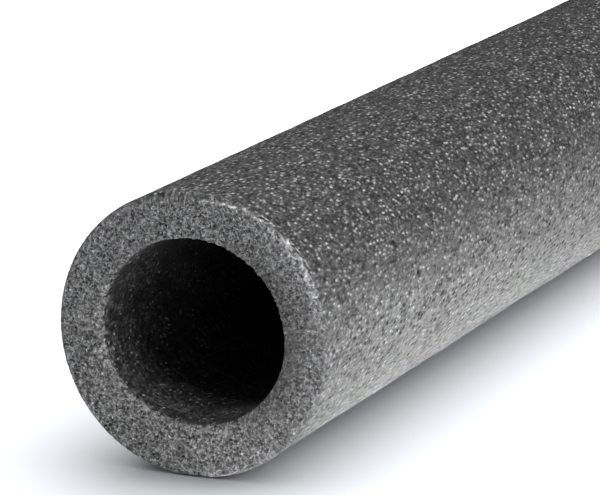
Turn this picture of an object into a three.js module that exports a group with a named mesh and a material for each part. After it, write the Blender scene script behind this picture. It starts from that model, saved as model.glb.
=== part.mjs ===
// One length of foam pipe insulation: a thick-walled soft tube with a round bore, cut square at
// both ends. It lies on its side along X, with the origin under its middle, at floor level.
// Millimetres, +Z up.
import * as THREE from 'three';

// Driving dimensions
const length = 1000;
const boreDiameter = 36;
const wallThickness = 9;
const outerRimRadius = 0.6;
const boreRimRadius = 0.4;

// Fineness of the round surfaces
const sidesAround = 96;
const stepsInRim = 3;

// Sizes that follow
const boreRadius = boreDiameter / 2;
const outerRadius = boreRadius + wallThickness;
const halfLength = length / 2;

const quarterTurn = Math.PI / 2;

// Points of one rounded rim: a quarter circle about (centreRadius, centreAlong), from startAngle on,
// turned the way the section is walked round.
function rimPoints(centreRadius, centreAlong, rimRadius, startAngle) {
  const points = [];
  for (let step = 0; step <= stepsInRim; step += 1) {
    const angle = startAngle + (quarterTurn * step) / stepsInRim;
    points.push(new THREE.Vector2(
      centreRadius + rimRadius * Math.cos(angle),
      centreAlong + rimRadius * Math.sin(angle),
    ));
  }
  return points;
}

// The wall's section beside the axis: a long rectangle with four rounded corners, walked up the
// outside, across one cut end, down the bore and across the other cut end, back to its start.
function wallSection() {
  const outerCentre = outerRadius - outerRimRadius;
  const boreCentre = boreRadius + boreRimRadius;
  const outerAlong = halfLength - outerRimRadius;
  const boreAlong = halfLength - boreRimRadius;
  const section = [
    ...rimPoints(outerCentre, -outerAlong, outerRimRadius, -quarterTurn),
    ...rimPoints(outerCentre, outerAlong, outerRimRadius, 0),
    ...rimPoints(boreCentre, boreAlong, boreRimRadius, quarterTurn),
    ...rimPoints(boreCentre, -boreAlong, boreRimRadius, 2 * quarterTurn),
  ];
  section.push(section[0].clone());
  return section;
}

const foam = new THREE.MeshStandardMaterial({ color: 0x4c4d50, roughness: 0.55, metalness: 0 });

const foamTube = new THREE.Mesh(new THREE.LatheGeometry(wallSection(), sidesAround), foam);
foamTube.name = 'foam_tube';

// The section turns about Y, so the tube is laid down along X and lifted to rest on the floor.
foamTube.rotation.z = -quarterTurn;
foamTube.position.z = outerRadius;

const pipeInsulation = new THREE.Group();
pipeInsulation.add(foamTube);

export default pipeInsulation;
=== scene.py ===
import math

import bpy
import numpy as np
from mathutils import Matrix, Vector
from mathutils.kdtree import KDTree


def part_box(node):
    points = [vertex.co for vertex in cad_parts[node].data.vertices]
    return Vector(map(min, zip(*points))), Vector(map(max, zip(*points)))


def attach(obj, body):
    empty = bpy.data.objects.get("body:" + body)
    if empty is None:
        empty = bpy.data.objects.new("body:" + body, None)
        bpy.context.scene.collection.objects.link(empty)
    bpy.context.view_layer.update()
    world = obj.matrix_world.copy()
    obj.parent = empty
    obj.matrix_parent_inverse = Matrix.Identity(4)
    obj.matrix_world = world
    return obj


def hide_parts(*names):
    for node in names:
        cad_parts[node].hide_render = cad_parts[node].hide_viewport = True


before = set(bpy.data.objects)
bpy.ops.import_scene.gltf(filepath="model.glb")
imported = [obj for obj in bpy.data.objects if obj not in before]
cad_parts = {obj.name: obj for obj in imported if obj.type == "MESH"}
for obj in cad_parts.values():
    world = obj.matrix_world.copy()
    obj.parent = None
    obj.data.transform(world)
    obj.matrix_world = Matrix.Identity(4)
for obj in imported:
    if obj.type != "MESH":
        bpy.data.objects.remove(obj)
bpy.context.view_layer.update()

tube_low, tube_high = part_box("foam_tube")

# Sizes of the tube. Its bore lies a little high, and is by one small share wider and lower than round.
OUTER_RADIUS = (tube_high.z - tube_low.z) / 2
HALF_LENGTH = (tube_high.x - tube_low.x) / 2
WALL = 0.009
BORE_RADIUS = OUTER_RADIUS - WALL
BORE_RISE = 0.0004
BORE_OVAL = 0.018
NEAR_END = Vector((-HALF_LENGTH, 0, OUTER_RADIUS))

# Waves of the outer wall and of the bore, the lengths as longest and shortest
WALL_WAVE = 0.00012
WAVE_COUNT = 24
WAVE_FADE = 0.01
SKIN_WAVE_LENGTHS = (0.12, 0.012)
BORE_WAVE_LENGTHS = (0.2, 0.02)

# The rim, where the cut meets the skin, and the lip, where it meets the bore. The skin is tucked over the
# cut by TUCK at the top, and the cut's look reaches over the skin by CUT_REACH near +Y.
RIM_RADIUS = 0.0007
RIM_UNEVENNESS = 0.4
WIDER_RIM = 0.6
LIP_RADIUS = 0.0012
LIP_UNEVENNESS = 0.4
LEAST_LIP_UNEVENNESS = 0.14
SHARP_LIP = 0.85
SHARP_LIP_MIDDLE = 115
SHARP_LIP_COSINES = (0, 0.6)
TUCK = 0.0009
CUT_REACH = 0.0007

# Cells of the foam in a cut. A cell's hollow slopes down from its wall over PIT_SLOPE.
CELL = 0.00085
PIT_DEPTH = 0.00036
PIT_WALL = 0.00002
PIT_SLOPE = 0.00036
LEAST_PIT = 0.25
SHALLOW_PITS = 0.25

# Where round the tube each thing is: its middle, and how far it fades to either side
RIM_WIDE_AT = (86, 40)
SKIN_TUCKED_AT = (86, 30)
CUT_REACHES_AT = (350, 60)
PITS_SHALLOW_AT = (155, 60)
SMEAR_AT = (178, 80)
BURR_HIGHLIGHT_LINE_AT = (116, 26)
BURR_HIGHLIGHT_BAND_AT = (148, 28)
BURR_HIGHLIGHT_STROKES_AT = (134, 20)

# The lower side's look, with painted shade in the holes between domes and a stronger grain, starts at the
# first of these heights over the tube's axis, in radii, and is full at the second.
SIDE_HEIGHTS = (0.6, -0.1)

# Where things start and end, in millimetres inside the middle of the rim, or of the lip
MILLIMETRES = 1000
SKIN_TO_CUT = (-0.6, 0.4)
CUT_TO_BORE = (0.0, 1.2)
DARK_SMEAR_STARTS = (-5.5, -1.5)
PALE_SMEAR_ENDS = (-8.0, -5.0)
BURR_LINE_PLACE = 0.2
BURR_LINE_HALF = (0.05, 0.4)
BURR_BAND_STARTS = (-0.6, 0.1)
BURR_BAND_ENDS = (0.8, 2.2)
BURR_STROKES_START = (-2.0, -1.3)
BURR_STROKES_END = (-0.1, 0.1)

# Two small pits in the skin, dented and coloured nearly black as painted shade
SKIN_PITS = ((-0.4617, -0.0244, 0.0386), (-0.4545, -0.0266, 0.0314))
SKIN_PIT_EDGE = (0.0002, 0.0015)

# Maps of the pieces. A wall's map is cut into strips, each a share of the length.
WALL_STRIPS = 3
STRIP_MARGIN = 0.004
CUT_MAP_REACH = 0.49

# Fineness of the meshes: rows along the tube, or over the cut, and columns round it
WALL_ROWS = WALL_STRIPS * 198
WALL_COLUMNS = 160
CUT_ROWS = 70
CUT_COLUMNS = 7 * WALL_COLUMNS
EDGE_STEPS = 6

# Seeds of what is random
SKIN_SEED = 11
BORE_SEED = 12
NEAR_CUT_SEED = 21
FAR_CUT_SEED = 22

# Brightness of the foam, from the darkest to the palest, and what the burr, partly a painted highlight, adds
# to it
# The skin's palest brightness is that of its painted glints.
SKIN_BRIGHTNESS = (0.0165, 0.32)
SKIN_PIT_SHADE_BRIGHTNESS = 0.007
BORE_BRIGHTNESS = (0.011, 0.28)
CUT_BRIGHTNESS = (0.0225, 0.195)
BURR_LINE_HIGHLIGHT_BRIGHTNESS = 0.42
BURR_BAND_HIGHLIGHT_BRIGHTNESS = 0.17
BURR_STROKES_HIGHLIGHT_BRIGHTNESS = 0.5
FOAM_TINT = (1, 1, 1.008)

# Cells of the looks, per metre, and how far they are drawn out along or round the tube
SKIN_CELLS = 1000
SKIN_SMALL_CELLS = 1650
SKIN_DRAWN = (0.5, 1, 1)
SKIN_HOLES_DRAWN = (0.45, 0.9, 0.9)
BORE_CELLS = 1000
BORE_DRAWN = (0.6, 1, 1)
BORE_HAIRS_DRAWN = (0.22, 1, 1)
CUT_NET = 1500
CUT_SPECKS = 800
BURR_HAIRS_DRAWN = (0.45, 1, 1)

# Noises of the looks: waves per metre, octaves and how strong the finer octaves are
SKIN_FINE = (1500, 2.0, 0.6)
SKIN_MIDDLE = (650, 2.0, 0.6)
SKIN_BROAD = (260, 4.0, 0.7)
BORE_FINE = (1400, 2.0, 0.6)
BORE_BROAD = (250, 3.0, 0.7)
BORE_HAIRS = (420, 3.0, 0.7)
CUT_FINE = (1250, 2.5, 0.65)
CUT_BROAD = (350, 3.0, 0.7)
EDGE_RAGGED = (700, 3.0, 0.7)
BURR_WOBBLE = (350, 2.0, 0.6)
BURR_BREAKS = (380, 3.0, 0.7)
BURR_HAIRS = (650, 2.0, 0.6)

# Reach of specks and walls from a cell's middle or edge, from where they are full to where they end
SKIN_DOME = (0.0, 0.75)
SKIN_SPECK = (0.1, 0.45)
SKIN_SMALL_SPECK = (0.1, 0.5)
SKIN_HOLE = (0.15, 0.46)
BORE_SPECK = (0.06, 0.36)
CUT_SPECK = (0.06, 0.27)
CUT_NET_STRAND = (0.02, 0.18)

# Hairs lie where their noise is less than this from its middle
BORE_HAIR = 0.035
BURR_HAIR = 0.07

# How high the bump is, and how rough the foam is where it is smoothest and roughest
BUMP_HEIGHT = 0.0002
SKIN_ROUGHNESS = (0.34, 0.50)
CUT_ROUGHNESS = (0.35, 0.55)

# The range in which most of a noise lies
USUAL_NOISE = (0.3, 0.7)

# The photograph's camera, seen from the middle of the near cut end
PHOTO_WIDTH = 600
FOCAL_PIXELS = 4031
SENSOR_WIDTH = 36
CAMERA_AZIMUTH = math.radians(-66.83)
CAMERA_ELEVATION = math.radians(13.10)
CAMERA_DISTANCE = 0.7388
CAMERA_RIGHT = 0.0199
CAMERA_UP = 0.0161

# The floor
FLOOR_COLOUR = (0.90, 0.925, 0.965)
FLOOR_REACH = 40

# The world as matt surfaces see it, as shiny ones see it and as the camera sees it
WORLD_STRENGTH = 0.5
WORLD_SLANT = 0.42
WORLD_BRIGHT_SIDE = (0.75, -0.35, 0.56)
WORLD_IN_SHINE = 0.05
WORLD_SEEN = 1.4

# Level sheets of light: place, size and strength. Those of the table lie just over the floor.
SKY_ON_FLOOR = ((2.27, -1.5, 1.2), (5.46, 6.0), 2.3)
SKY_ON_FOAM = ((2.2, -1.5, 1.2), (5.6, 6.0), 1.2)
TABLE_NEAR = ((-0.465, -0.232, 0.0002), (0.25, 0.46), 1.95)
TABLE_FAR = ((0.13, -0.142, 0.0002), (0.94, 0.28), 1.3)
TABLE_FRONT = ((-0.56, 0.04, 0.0002), (0.12, 0.12), 1.7)

# Lamps aimed at the near cut end: place from the end's middle, size and watts
OVERHEAD = ((-0.14, 0, 0.36), (0.12, 0.12), 1.1)
FRONT = ((-0.2, -0.7, 0.38), (0.35, 0.35), 3)


def make_camera():
    data = bpy.data.cameras.new("camera")
    data.sensor_width = SENSOR_WIDTH
    data.lens = FOCAL_PIXELS / PHOTO_WIDTH * SENSOR_WIDTH
    data.clip_start = 0.01
    data.clip_end = 100
    camera = bpy.data.objects.new("camera", data)
    bpy.context.scene.collection.objects.link(camera)
    back = Vector((
        math.sin(CAMERA_AZIMUTH) * math.cos(CAMERA_ELEVATION),
        -math.cos(CAMERA_AZIMUTH) * math.cos(CAMERA_ELEVATION),
        math.sin(CAMERA_ELEVATION),
    ))
    turn = (-back).to_track_quat("-Z", "Y")
    right = turn @ Vector((1, 0, 0))
    up = turn @ Vector((0, 1, 0))
    camera.location = NEAR_END + back * CAMERA_DISTANCE + right * CAMERA_RIGHT + up * CAMERA_UP
    camera.rotation_mode = "QUATERNION"
    camera.rotation_quaternion = turn
    bpy.context.scene.camera = camera


def wrapped_mesh(name, points, uv_rows, uv_of, flip):
    """A mesh from a table of points, rows by columns, whose last column meets the first. uv_of gives the
    map place of a row and column, and uv_rows is how many rows one strip of the map holds."""
    rows, columns, _ = points.shape
    row, column = np.meshgrid(np.arange(rows - 1), np.arange(columns), indexing="ij")
    row, column = row.ravel(), column.ravel()
    corner_rows = np.stack([row, row, row + 1, row + 1], 1)
    corner_columns = np.stack([column, column + 1, column + 1, column], 1)
    if flip:
        corner_rows = corner_rows[:, ::-1]
        corner_columns = corner_columns[:, ::-1]
    faces = corner_rows * columns + corner_columns % columns
    mesh = bpy.data.meshes.new(name)
    mesh.vertices.add(rows * columns)
    mesh.vertices.foreach_set("co", points.astype(np.float32).ravel())
    mesh.loops.add(faces.size)
    mesh.loops.foreach_set("vertex_index", faces.astype(np.int32).ravel())
    mesh.polygons.add(len(faces))
    mesh.polygons.foreach_set("loop_start", np.arange(0, faces.size, 4, dtype=np.int32))
    mesh.polygons.foreach_set("use_smooth", np.ones(len(faces), bool))
    mesh.update(calc_edges=True)
    strip = np.repeat(row // uv_rows, 4)
    u, v = uv_of(corner_rows.ravel(), corner_columns.ravel(), strip)
    layer = mesh.uv_layers.new(name="OFBake")
    layer.data.foreach_set("uv", np.stack([u, v], 1).astype(np.float32).ravel())
    piece = bpy.data.objects.new(name, mesh)
    bpy.context.scene.collection.objects.link(piece)
    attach(piece, "root")
    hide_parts("foam_tube")
    return piece


def store(piece, name, values):
    """Keeps a number, or a place of three, for each point of a piece, where its material reads it."""
    kind, field = ("FLOAT", "value") if values.shape[-1] != 3 else ("FLOAT_VECTOR", "vector")
    layer = piece.data.attributes.new(name, kind, "POINT")
    layer.data.foreach_set(field, values.astype(np.float32).ravel())


def smooth_step(value, low, high):
    t = np.clip((value - low) / (high - low), 0, 1)
    return t * t * (3 - 2 * t)


def around(angle, place):
    """1 in the middle of a place round the tube, fading to 0 where its reach ends."""
    middle, reach = place
    return smooth_step(np.cos(angle - math.radians(middle)), math.cos(math.radians(reach)), 1)


def waviness(along, around_it, seed, longest, shortest):
    """A smooth random height, about -1 to 1, over a tube's wall: waves along it and round it."""
    random = np.random.default_rng(seed)
    most_turns = 3
    total = np.zeros(np.broadcast(along, around_it).shape)
    for _ in range(WAVE_COUNT):
        wave_length = shortest * (longest / shortest) ** random.random()
        turns = random.integers(-most_turns, most_turns + 1)
        phase = random.random() * 2 * math.pi
        total += np.sin(2 * math.pi * along / wave_length + turns * around_it + phase)
    usual_height = 1.6
    return total / math.sqrt(WAVE_COUNT) / usual_height


def unevenness(angle, seed):
    """A random number, about -1 to 1, that changes smoothly round an edge."""
    random = np.random.default_rng(seed)
    wave_count, fewest_turns, most_turns, usual_height = 40, 5, 110, 6
    total = np.zeros(angle.shape)
    for _ in range(wave_count):
        total += np.sin(random.integers(fewest_turns, most_turns) * angle + random.random() * 2 * math.pi)
    return (total / usual_height).clip(-1, 1)


def store_edges(piece, angle, to_rim, to_lip):
    """Keeps what the material reads, from distances over the surface: to_rim from the middle of the rim,
    and to_lip from the middle of the lip, both more towards the bore. They are kept in millimetres."""
    cut_edge = to_rim - TUCK * around(angle, SKIN_TUCKED_AT) + CUT_REACH * around(angle, CUT_REACHES_AT)
    store(piece, "rim", cut_edge * MILLIMETRES)
    store(piece, "lip", to_lip * MILLIMETRES)
    store(piece, "wrap", np.stack([angle * OUTER_RADIUS, to_rim, np.zeros(angle.shape)], -1))
    store(piece, "side", smooth_step(np.sin(angle), *SIDE_HEIGHTS))
    store(piece, "smear", around(angle, SMEAR_AT))
    store(piece, "burr_highlight_line", around(angle, BURR_HIGHLIGHT_LINE_AT))
    store(piece, "burr_highlight_band", around(angle, BURR_HIGHLIGHT_BAND_AT))
    store(piece, "burr_highlight_strokes", around(angle, BURR_HIGHLIGHT_STROKES_AT))


def wall_grid(reach):
    """Places along and round a tube's wall, to reach on both sides of its middle, and a number that falls
    from 1 to 0 near the two ends."""
    angle = np.arange(WALL_COLUMNS) * 2 * math.pi / WALL_COLUMNS
    along = np.linspace(-reach, reach, WALL_ROWS + 1)
    along, angle = np.meshgrid(along, angle, indexing="ij")
    fade = np.clip((reach - np.abs(along)) / WAVE_FADE, 0, 1)
    return along, angle, fade


def wall_piece(name, points, flip):
    """A tube's wall, whose map holds strips beside each other, each of them a share of the length."""
    rows_each = WALL_ROWS // WALL_STRIPS
    inside_margins = 1 - 2 * STRIP_MARGIN

    def place(row, column, strip):
        u = (row - strip * rows_each) / rows_each
        v = (strip + STRIP_MARGIN + inside_margins * column / WALL_COLUMNS) / WALL_STRIPS
        return STRIP_MARGIN + inside_margins * u, v

    return wrapped_mesh(name, points, rows_each, place, flip)


def wall_point(angle, along, radius):
    return np.stack([along, radius * np.cos(angle), OUTER_RADIUS + radius * np.sin(angle)], -1)


def bore_radius_at(angle):
    return BORE_RADIUS * (1 + BORE_OVAL * np.cos(2 * angle))


def make_outer_skin():
    reach = HALF_LENGTH - RIM_RADIUS
    along, angle, fade = wall_grid(reach)
    wave = waviness(along, angle, SKIN_SEED, *SKIN_WAVE_LENGTHS).clip(-1, 1)
    dip = WALL_WAVE * fade * (0.5 + 0.5 * wave)
    piece = wall_piece("outer_skin", wall_point(angle, along, OUTER_RADIUS - dip), flip=False)
    to_rim = np.abs(along) - reach - RIM_RADIUS * math.pi / 4
    store_edges(piece, angle, to_rim, to_rim - WALL)
    return piece


def make_bore_skin():
    reach = HALF_LENGTH - LIP_RADIUS
    along, angle, fade = wall_grid(reach)
    lift = WALL_WAVE * fade * waviness(along, angle, BORE_SEED, *BORE_WAVE_LENGTHS)
    points = wall_point(angle, along, bore_radius_at(angle) + lift)
    points[..., 2] += BORE_RISE
    piece = wall_piece("bore_skin", points, flip=True)
    to_lip = reach - np.abs(along) + LIP_RADIUS * math.pi / 4
    store_edges(piece, angle, to_lip + WALL, to_lip)
    return piece


def cell_pits(points, seed):
    """How deep each point of a cut lies in its foam cell, 0 on a cell's wall and more towards its middle,
    and a random number for each cell."""
    random = np.random.default_rng(seed)
    step = 0.93 * CELL
    row_height = 0.92
    scatter, depth_scatter = 0.42, 0.3
    steps = int(OUTER_RADIUS * 2 / step) + 4
    places = []
    for i in range(steps):
        for j in range(steps):
            y = -OUTER_RADIUS + (i + 0.5 * (j % 2) + random.uniform(-scatter, scatter)) * step
            z = (j * row_height + random.uniform(-scatter, scatter)) * step
            x = random.uniform(-depth_scatter, depth_scatter) * step
            places.append((x, y, z))
    tree = KDTree(len(places))
    for index, place in enumerate(places):
        tree.insert(place, index)
    tree.balance()
    lots = random.random(len(places))
    inside = np.zeros(len(points))
    lot = np.zeros(len(points))
    for n, (y, z) in enumerate(points):
        (_, first, near), (_, _, far) = tree.find_n((0, y, z), 2)
        inside[n] = far - near
        lot[n] = lots[first]
    return inside, lot


def lip_rows(turn, angle, seed):
    """The rounded lip, from inside the bore out to the cut: y, z and how far back from the cut. It is
    nearly sharp, and ragged, at one place."""
    lip = 1 - SHARP_LIP * smooth_step(np.cos(angle - math.radians(SHARP_LIP_MIDDLE)), *SHARP_LIP_COSINES)
    lip += np.maximum(LIP_UNEVENNESS * lip, LEAST_LIP_UNEVENNESS) * unevenness(angle, seed) * np.sin(turn)
    radius = bore_radius_at(angle) + LIP_RADIUS * lip * (1 - np.cos(turn))
    return radius * np.cos(angle), radius * np.sin(angle) + BORE_RISE, LIP_RADIUS * (1 - np.sin(turn))


def rim_rows(turn, angle, seed):
    """The rounded rim, from the cut out to the skin: y, z and how far back from the cut."""
    rim = 1 + WIDER_RIM * around(angle, RIM_WIDE_AT) + RIM_UNEVENNESS * unevenness(angle, seed) * np.cos(turn)
    radius = OUTER_RADIUS - RIM_RADIUS * rim * (1 - np.sin(turn))
    return radius * np.cos(angle), radius * np.sin(angle), RIM_RADIUS * (1 - np.cos(turn))


def make_cut_face(name, end, seed):
    """The cut wall at one end: end is -1 for the near one and 1 for the far one. Rows run from inside the
    bore round its lip, out over the face and round the rim to the skin."""
    angle = np.arange(CUT_COLUMNS) * 2 * math.pi / CUT_COLUMNS
    turn = np.linspace(0, math.pi / 2, EDGE_STEPS + 1)
    turn, edge_angle = np.meshgrid(turn, angle, indexing="ij")
    lip_y, lip_z, lip_back = lip_rows(turn, edge_angle, seed + 1)
    rim_y, rim_z, rim_back = rim_rows(turn, edge_angle, seed + 2)
    share = np.linspace(0, 1, CUT_ROWS + 1)[1:-1, None]
    face_y = lip_y[-1] + (rim_y[0] - lip_y[-1]) * share
    face_z = lip_z[-1] + (rim_z[0] - lip_z[-1]) * share

    y = np.concatenate([lip_y, face_y, rim_y])
    z = np.concatenate([lip_z, face_z, rim_z])
    back = np.concatenate([lip_back, np.zeros(face_y.shape), rim_back])
    inside, lot = cell_pits(np.stack([y.ravel(), z.ravel() + OUTER_RADIUS], 1), seed)
    pit = smooth_step(inside.reshape(y.shape), PIT_WALL, PIT_SLOPE)
    pit *= LEAST_PIT + (1 - LEAST_PIT) * lot.reshape(y.shape)
    pit *= np.concatenate([np.sin(turn), np.ones(face_y.shape), np.sqrt(np.cos(turn).clip(0, 1))])
    pit *= 1 - SHALLOW_PITS * around(angle, PITS_SHALLOW_AT)
    x = end * (HALF_LENGTH - back - PIT_DEPTH * pit)
    points = np.stack([x, y, z + OUTER_RADIUS], -1)

    def place(row, column, strip):
        spot = points[row, column % CUT_COLUMNS, 1:]
        u = 0.5 + spot[..., 0] / OUTER_RADIUS * CUT_MAP_REACH
        v = 0.5 + (spot[..., 1] - OUTER_RADIUS) / OUTER_RADIUS * CUT_MAP_REACH
        return u, v

    piece = wrapped_mesh(name, points, len(points), place, flip=end > 0)
    store(piece, "hollow", pit)
    across = np.hypot(np.diff(np.hypot(y, z), axis=0), np.diff(back, axis=0))
    across = np.concatenate([np.zeros((1, CUT_COLUMNS)), np.cumsum(across, axis=0)])
    middle_of_edge = EDGE_STEPS // 2
    to_rim = across[-1 - middle_of_edge] - across
    to_lip = across[middle_of_edge] - across
    store_edges(piece, np.broadcast_to(angle, y.shape), to_rim, to_lip)
    return piece


class Nodes:
    """Short ways to add and join nodes of one material."""

    def __init__(self, name):
        self.material = bpy.data.materials.new(name)
        self.material.use_nodes = True
        self.tree = self.material.node_tree
        self.shader = self.tree.nodes["Principled BSDF"]
        self.place = self.add("ShaderNodeTexCoord").outputs["Object"]

    def add(self, kind, **settings):
        node = self.tree.nodes.new(kind)
        for key, value in settings.items():
            setattr(node, key, value)
        return node

    def join(self, source, target):
        self.tree.links.new(source, target)

    def give(self, value, socket):
        """Sets a socket to a number, or joins it to another node's output."""
        if isinstance(value, (int, float)):
            socket.default_value = value
        else:
            self.join(value, socket)

    def noise(self, scale, detail, roughness, vector=None):
        node = self.add("ShaderNodeTexNoise")
        node.inputs["Scale"].default_value = scale
        node.inputs["Detail"].default_value = detail
        node.inputs["Roughness"].default_value = roughness
        self.join(vector or self.place, node.inputs["Vector"])
        return node.outputs["Fac"]

    def cells(self, scale, feature="F1", vector=None):
        node = self.add("ShaderNodeTexVoronoi", feature=feature)
        node.inputs["Scale"].default_value = scale
        self.join(vector or self.place, node.inputs["Vector"])
        return node.outputs["Distance"]

    def stretched(self, scale, vector=None):
        node = self.add("ShaderNodeMapping")
        node.inputs["Scale"].default_value = scale
        self.join(vector or self.place, node.inputs["Vector"])
        return node.outputs["Vector"]

    def stored(self, name, kind="Fac"):
        return self.add("ShaderNodeAttribute", attribute_name=name).outputs[kind]

    def distance_from(self, place):
        node = self.add("ShaderNodeVectorMath", operation="DISTANCE")
        self.join(self.place, node.inputs[0])
        node.inputs[1].default_value = place
        return node.outputs["Value"]

    def ramp(self, source, low, high, low_to, high_to):
        """low_to where the source is low or less, high_to where it is high or more, even between them."""
        node = self.add("ShaderNodeMapRange")
        for key, value in (("From Min", low), ("From Max", high), ("To Min", low_to), ("To Max", high_to)):
            node.inputs[key].default_value = value
        self.join(source, node.inputs["Value"])
        return node.outputs["Result"]

    def rise(self, source, low, high):
        return self.ramp(source, low, high, 0.0, 1.0)

    def fall(self, source, low, high):
        return self.ramp(source, low, high, 1.0, 0.0)

    def lines(self, noise, width):
        """Thin lines along which a noise passes its middle: 1 on them and 0 beside them."""
        away = self.math("ABSOLUTE", self.math("SUBTRACT", noise, 0.5), 0)
        return self.fall(away, 0.0, width)

    def math(self, operation, a, b):
        node = self.add("ShaderNodeMath", operation=operation)
        self.give(a, node.inputs[0])
        self.give(b, node.inputs[1])
        return node.outputs["Value"]

    def total(self, *values):
        result = values[0]
        for value in values[1:]:
            result = self.math("ADD", result, value)
        return result

    def product(self, *values):
        result = values[0]
        for value in values[1:]:
            result = self.math("MULTIPLY", result, value)
        return result

    def blend(self, share, first, second):
        """The first of two numbers where share is 0, the second where it is 1."""
        node = self.add("ShaderNodeMix", data_type="FLOAT")
        self.give(share, node.inputs["Factor"])
        self.give(first, node.inputs["A"])
        self.give(second, node.inputs["B"])
        return node.outputs["Result"]

    def colour(self, brightness, tint):
        node = self.add("ShaderNodeMix", data_type="RGBA")
        node.inputs["A"].default_value = (0, 0, 0, 1)
        node.inputs["B"].default_value = (*tint, 1)
        self.join(brightness, node.inputs["Factor"])
        self.join(node.outputs["Result"], self.shader.inputs["Base Color"])

    def bump(self, height, distance):
        node = self.add("ShaderNodeBump")
        node.inputs["Distance"].default_value = distance
        self.join(height, node.inputs["Height"])
        self.join(node.outputs["Normal"], self.shader.inputs["Normal"])


def skin_look(n):
    """Domes of cells, drawn out along the tube, with painted glints: pale specks on their tops, in patches on
    dark foam. Lower down, where they are seen more from the side, painted shade in the holes between them
    tells more than the glints do."""
    side = n.stored("side")
    drawn = n.stretched(SKIN_DRAWN)
    fine = n.noise(*SKIN_FINE, drawn)
    middle = n.noise(*SKIN_MIDDLE, drawn)
    broad = n.noise(*SKIN_BROAD, drawn)
    cell = n.cells(SKIN_CELLS, vector=drawn)
    hole_cell = n.cells(SKIN_CELLS, vector=n.stretched(SKIN_HOLES_DRAWN))
    small = n.fall(n.cells(SKIN_SMALL_CELLS, vector=drawn), *SKIN_SMALL_SPECK)
    large = n.fall(cell, *SKIN_SPECK)
    holes = n.product(side, n.fall(hole_cell, *SKIN_HOLE))

    # Painted glints: pale specks at the tops of the cell domes, in patches, stand in for light glinting off
    # them.
    specks = n.total(n.product(large, large, 0.9), n.product(small, 0.26))
    patches = n.ramp(broad, 0.35, 0.68, 0.35, 1.4)
    middle_tone = n.ramp(middle, *USUAL_NOISE, -0.02, 0.06)
    fine_tone = n.product(n.ramp(fine, 0.35, 0.7, -0.02, 0.09), n.blend(side, 1.0, 1.8))
    tone = n.total(n.product(specks, patches), middle_tone, fine_tone)
    # Painted shade: on the lower side the colour is darker in the holes between the domes.
    brightness = n.product(n.ramp(tone, 0.0, 1.0, *SKIN_BRIGHTNESS), n.blend(holes, 1.0, 0.4))

    domes = n.total(n.fall(cell, *SKIN_DOME), n.product(small, 0.3))
    height = n.total(
        n.product(domes, n.blend(side, 1.0, 0.35)),
        n.product(fine, n.blend(side, 0.8, 1.6)),
        n.product(middle, n.blend(side, 0.8, 0.2)),
        n.product(holes, -0.7),
    )
    roughness = n.ramp(fine, *USUAL_NOISE, *SKIN_ROUGHNESS)
    shine = n.product(n.ramp(middle, 0.3, 0.65, 0.05, 0.95), n.blend(holes, 1.0, 0.15))
    # Painted shade: each pit's colour is made nearly black as well as dented.
    for place in SKIN_PITS:
        pit = n.fall(n.distance_from(place), *SKIN_PIT_EDGE)
        brightness = n.blend(pit, brightness, SKIN_PIT_SHADE_BRIGHTNESS)
        height = n.blend(pit, height, -1.0)
        shine = n.blend(pit, shine, 0.0)
    return brightness, height, roughness, shine


def bore_look(n):
    """Dark, with small pale specks in patches and a few hairs drawn round it."""
    drawn = n.stretched(BORE_DRAWN)
    fine = n.noise(*BORE_FINE, drawn)
    broad = n.noise(*BORE_BROAD, drawn)
    large = n.fall(n.cells(BORE_CELLS, vector=drawn), *BORE_SPECK)
    round_it = n.stretched(BORE_HAIRS_DRAWN, n.stored("wrap", "Vector"))
    hairs = n.lines(n.noise(*BORE_HAIRS, round_it), BORE_HAIR)
    specks = n.product(large, large, n.ramp(broad, 0.4, 0.58, 0.2, 1.9))
    pale_hairs = n.product(hairs, n.ramp(broad, 0.45, 0.65, 0.0, 0.35))
    tone = n.total(specks, pale_hairs, n.ramp(fine, 0.4, 0.7, -0.04, 0.2))
    height = n.total(large, fine, n.product(hairs, 0.4))
    return n.ramp(tone, 0.0, 1.0, *BORE_BRIGHTNESS), height


def cut_look(n, fine):
    """Pits of cells, darkened with painted shade, between paler walls, with a net of pale strands here and
    there and small bright specks that are painted glints. On one side it is darker towards the bore and paler
    towards the rim."""
    net = n.fall(n.cells(CUT_NET, "DISTANCE_TO_EDGE"), *CUT_NET_STRAND)
    # Painted shade: the colour is darker in the pits, the deeper they lie.
    painted_pit_shade = n.product(n.math("SUBTRACT", 1.0, n.stored("hollow")), 0.14)
    strands = n.product(net, n.ramp(fine, 0.42, 0.7, 0.0, 1.1))
    grain = n.ramp(fine, 0.32, 0.68, -0.1, 0.4)
    patches = n.ramp(n.noise(*CUT_BROAD), *USUAL_NOISE, -0.1, 0.15)
    # Painted glints: small bright specks that stand in for light glinting off the cut.
    specks = n.product(n.fall(n.cells(CUT_SPECKS), *CUT_SPECK), n.ramp(fine, 0.4, 0.6, 0.0, 0.2))
    smear = n.stored("smear")
    lip = n.stored("lip")
    inner = n.product(smear, n.rise(lip, *DARK_SMEAR_STARTS))
    outer = n.product(smear, n.fall(lip, *PALE_SMEAR_ENDS))
    slant = n.total(1.0, n.product(inner, -0.52), n.product(outer, 0.06))
    tone = n.product(n.total(painted_pit_shade, strands, grain, patches, -0.31), n.blend(smear, 1.0, 0.95))
    brightness = n.total(n.ramp(tone, -0.3, 0.7, *CUT_BRIGHTNESS), specks)
    return n.product(brightness, slant), n.total(fine, n.product(net, 0.4))


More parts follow.
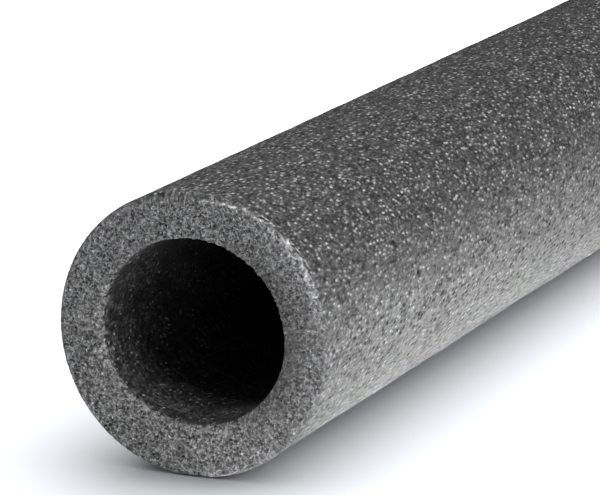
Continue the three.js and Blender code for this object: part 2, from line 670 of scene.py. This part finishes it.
def burr_and_rim_highlight(n, rim, fine):
    """What the knife left along one side of the rim, at rim millimetres inside it, made paler there as a
    painted
    highlight where light falls on the rim: a broken bright line, a mottled band inside it and strokes outside
    it."""
    wrap = n.stored("wrap", "Vector")
    wobble = n.ramp(n.noise(*BURR_WOBBLE), *USUAL_NOISE, -0.35, 0.35)
    broken = n.rise(n.noise(*BURR_BREAKS), 0.44, 0.6)
    from_line = n.math("ABSOLUTE", n.total(rim, wobble, -BURR_LINE_PLACE), 0)
    line = n.product(n.stored("burr_highlight_line"), n.fall(from_line, *BURR_LINE_HALF), broken)
    inside = n.product(n.rise(rim, *BURR_BAND_STARTS), n.fall(n.total(rim, wobble), *BURR_BAND_ENDS))
    band = n.product(n.stored("burr_highlight_band"), inside, n.rise(fine, 0.36, 0.64))
    hair = n.lines(n.noise(*BURR_HAIRS, n.stretched(BURR_HAIRS_DRAWN, wrap)), BURR_HAIR)
    outside = n.product(n.rise(rim, *BURR_STROKES_START), n.fall(rim, *BURR_STROKES_END))
    strokes = n.product(n.stored("burr_highlight_strokes"), outside, hair, broken)
    return n.total(
        n.product(line, BURR_LINE_HIGHLIGHT_BRIGHTNESS),
        n.product(band, BURR_BAND_HIGHLIGHT_BRIGHTNESS),
        n.product(strokes, BURR_STROKES_HIGHLIGHT_BRIGHTNESS),
    )


def foam_material(name, has_skin=True, has_bore=True):
    """The looks of the foam, blended raggedly over the rim, where there is skin, and over the lip, where
    there is a bore."""
    n = Nodes(name)
    fine = n.noise(*CUT_FINE)
    ragged = n.ramp(n.noise(*EDGE_RAGGED), *USUAL_NOISE, -0.5, 0.5)
    brightness, height = cut_look(n, fine)
    roughness = n.ramp(fine, *USUAL_NOISE, *CUT_ROUGHNESS)
    if has_skin:
        rim = n.stored("rim")
        is_skin = n.fall(n.total(rim, n.product(ragged, 1.2)), *SKIN_TO_CUT)
        skin, skin_height, skin_roughness, skin_shine = skin_look(n)
        # The burr's paleness is partly a painted highlight on the side of the rim where light falls.
        burr_and_highlight = burr_and_rim_highlight(n, rim, fine)
        brightness = n.total(n.blend(is_skin, brightness, skin), burr_and_highlight)
        height = n.total(n.blend(is_skin, height, skin_height), n.product(burr_and_highlight, 3))
        roughness = n.blend(is_skin, roughness, skin_roughness)
        n.join(n.blend(is_skin, 0.5, skin_shine), n.shader.inputs["Specular IOR Level"])
    if has_bore:
        mottled = n.ramp(fine, 0.35, 0.65, 1.6, -1.6)
        is_bore = n.rise(n.total(n.stored("lip"), mottled, ragged), *CUT_TO_BORE)
        bore, bore_height = bore_look(n)
        brightness = n.blend(is_bore, brightness, bore)
        height = n.blend(is_bore, height, bore_height)
    n.colour(brightness, FOAM_TINT)
    n.bump(height, BUMP_HEIGHT)
    n.join(roughness, n.shader.inputs["Roughness"])
    return n.material


def floor_material():
    n = Nodes("floor_white")
    n.shader.inputs["Base Color"].default_value = (*FLOOR_COLOUR, 1)
    n.shader.inputs["Roughness"].default_value = 0.9
    n.shader.inputs["Specular IOR Level"].default_value = 0.1
    return n.material


def make_floor():
    mesh = bpy.data.meshes.new("floor")
    r = FLOOR_REACH
    mesh.from_pydata([(-r, -r, 0), (r, -r, 0), (r, r, 0), (-r, r, 0)], [], [(0, 1, 2, 3)])
    floor = bpy.data.objects.new("floor", mesh)
    bpy.context.scene.collection.objects.link(floor)
    mesh.materials.append(floor_material())
    floor.visible_glossy = False
    return floor


def area_light(name, place, target, size, power):
    data = bpy.data.lights.new(name, "AREA")
    data.shape = "RECTANGLE"
    data.size, data.size_y = size
    data.energy = power
    light = bpy.data.objects.new(name, data)
    light.location = place
    light.rotation_mode = "QUATERNION"
    light.rotation_quaternion = (Vector(target) - Vector(place)).to_track_quat("-Z", "Y")
    light.visible_camera = False
    bpy.context.scene.collection.objects.link(light)
    return light


def aimed_lamp(name, from_end, size, power):
    """A lamp that shines at the near cut end, at from_end from that end's middle."""
    return area_light(name, NEAR_END + Vector(from_end), NEAR_END, size, power)


def panel(name, place, size, strength, up, in_shine=False):
    """A level sheet of light of one strength all over, shining up or down. in_shine is whether surfaces
    reflect it as well as take light from it."""
    power = strength * math.pi * size[0] * size[1]
    light = area_light(name, place, Vector(place) + Vector((0, 0, 1 if up else -1)), size, power)
    light.visible_glossy = in_shine
    return light


def shine_on(light, receivers, bounces):
    """Has a light reach only some objects, after no more than some bounces of its light."""
    light.light_linking.receiver_collection = receivers
    light.data.cycles.max_bounces = bounces
    light.data.cycles.use_multiple_importance_sampling = False


def collection_of(name, objects):
    collection = bpy.data.collections.new(name)
    for item in objects:
        collection.objects.link(item)
    return collection


def make_world():
    """A studio all round. Matt surfaces see it slanted: stronger towards its bright side, and weaker by as
    much away from it. Shiny ones see it dark, and the camera sees it white."""
    world = bpy.data.worlds.new("studio")
    bpy.context.scene.world = world
    world.use_nodes = True
    tree = world.node_tree
    tree.nodes.clear()
    path = tree.nodes.new("ShaderNodeLightPath")
    output = tree.nodes.new("ShaderNodeOutputWorld")

    def background(strength):
        node = tree.nodes.new("ShaderNodeBackground")
        node.inputs["Color"].default_value = (1, 1, 1, 1)
        node.inputs["Strength"].default_value = strength
        return node

    def mixed(choice, first, second):
        node = tree.nodes.new("ShaderNodeMixShader")
        tree.links.new(choice, node.inputs["Fac"])
        tree.links.new(first, node.inputs[1])
        tree.links.new(second, node.inputs[2])
        return node.outputs["Shader"]

    direction = tree.nodes.new("ShaderNodeTexCoord").outputs["Generated"]
    along = tree.nodes.new("ShaderNodeVectorMath")
    along.operation = "DOT_PRODUCT"
    along.inputs[1].default_value = WORLD_BRIGHT_SIDE
    tree.links.new(direction, along.inputs[0])
    slope = tree.nodes.new("ShaderNodeMapRange")
    slope.inputs["From Min"].default_value = -1
    slope.inputs["To Min"].default_value = WORLD_STRENGTH - WORLD_SLANT
    slope.inputs["To Max"].default_value = WORLD_STRENGTH + WORLD_SLANT
    tree.links.new(along.outputs["Value"], slope.inputs["Value"])
    matt = background(WORLD_STRENGTH)
    tree.links.new(slope.outputs["Result"], matt.inputs["Strength"])
    shiny = background(WORLD_IN_SHINE)
    seen = background(WORLD_SEEN)
    lit = mixed(path.outputs["Is Glossy Ray"], matt.outputs["Background"], shiny.outputs["Background"])
    shown = mixed(path.outputs["Is Camera Ray"], lit, seen.outputs["Background"])
    tree.links.new(shown, output.inputs["Surface"])


def make_lights(pieces, floor):
    make_world()
    foam_only = collection_of("foam_only", pieces)
    floor_only = collection_of("floor_only", [floor])
    shine_on(panel("sky_on_floor", *SKY_ON_FLOOR, up=False), floor_only, 1)
    shine_on(panel("sky_on_foam", *SKY_ON_FOAM, up=False), foam_only, 0)
    shine_on(panel("table_near", *TABLE_NEAR, up=True, in_shine=True), foam_only, 0)
    shine_on(panel("table_far", *TABLE_FAR, up=True, in_shine=True), foam_only, 0)
    shine_on(panel("table_front", *TABLE_FRONT, up=True), foam_only, 0)
    shine_on(aimed_lamp("overhead", *OVERHEAD), foam_only, 0)
    shine_on(aimed_lamp("front", *FRONT), foam_only, 0)


make_camera()
floor = make_floor()
outer_skin = make_outer_skin()
bore_skin = make_bore_skin()
near_cut = make_cut_face("near_cut_face", -1, NEAR_CUT_SEED)
far_cut = make_cut_face("far_cut_face", 1, FAR_CUT_SEED)
pieces = [outer_skin, bore_skin, near_cut, far_cut]
foam_cut = foam_material("foam_cut")
foam_skin = foam_material("foam_skin", has_bore=False)
foam_bore = foam_material("foam_bore", has_skin=False)
for piece, material in zip(pieces, (foam_skin, foam_bore, foam_cut, foam_cut)):
    piece.data.materials.append(material)
make_lights(pieces, floor)

view = bpy.context.scene.view_settings
view.view_transform = "Standard"
view.look = "None"
bpy.context.scene.cycles.use_denoising = True
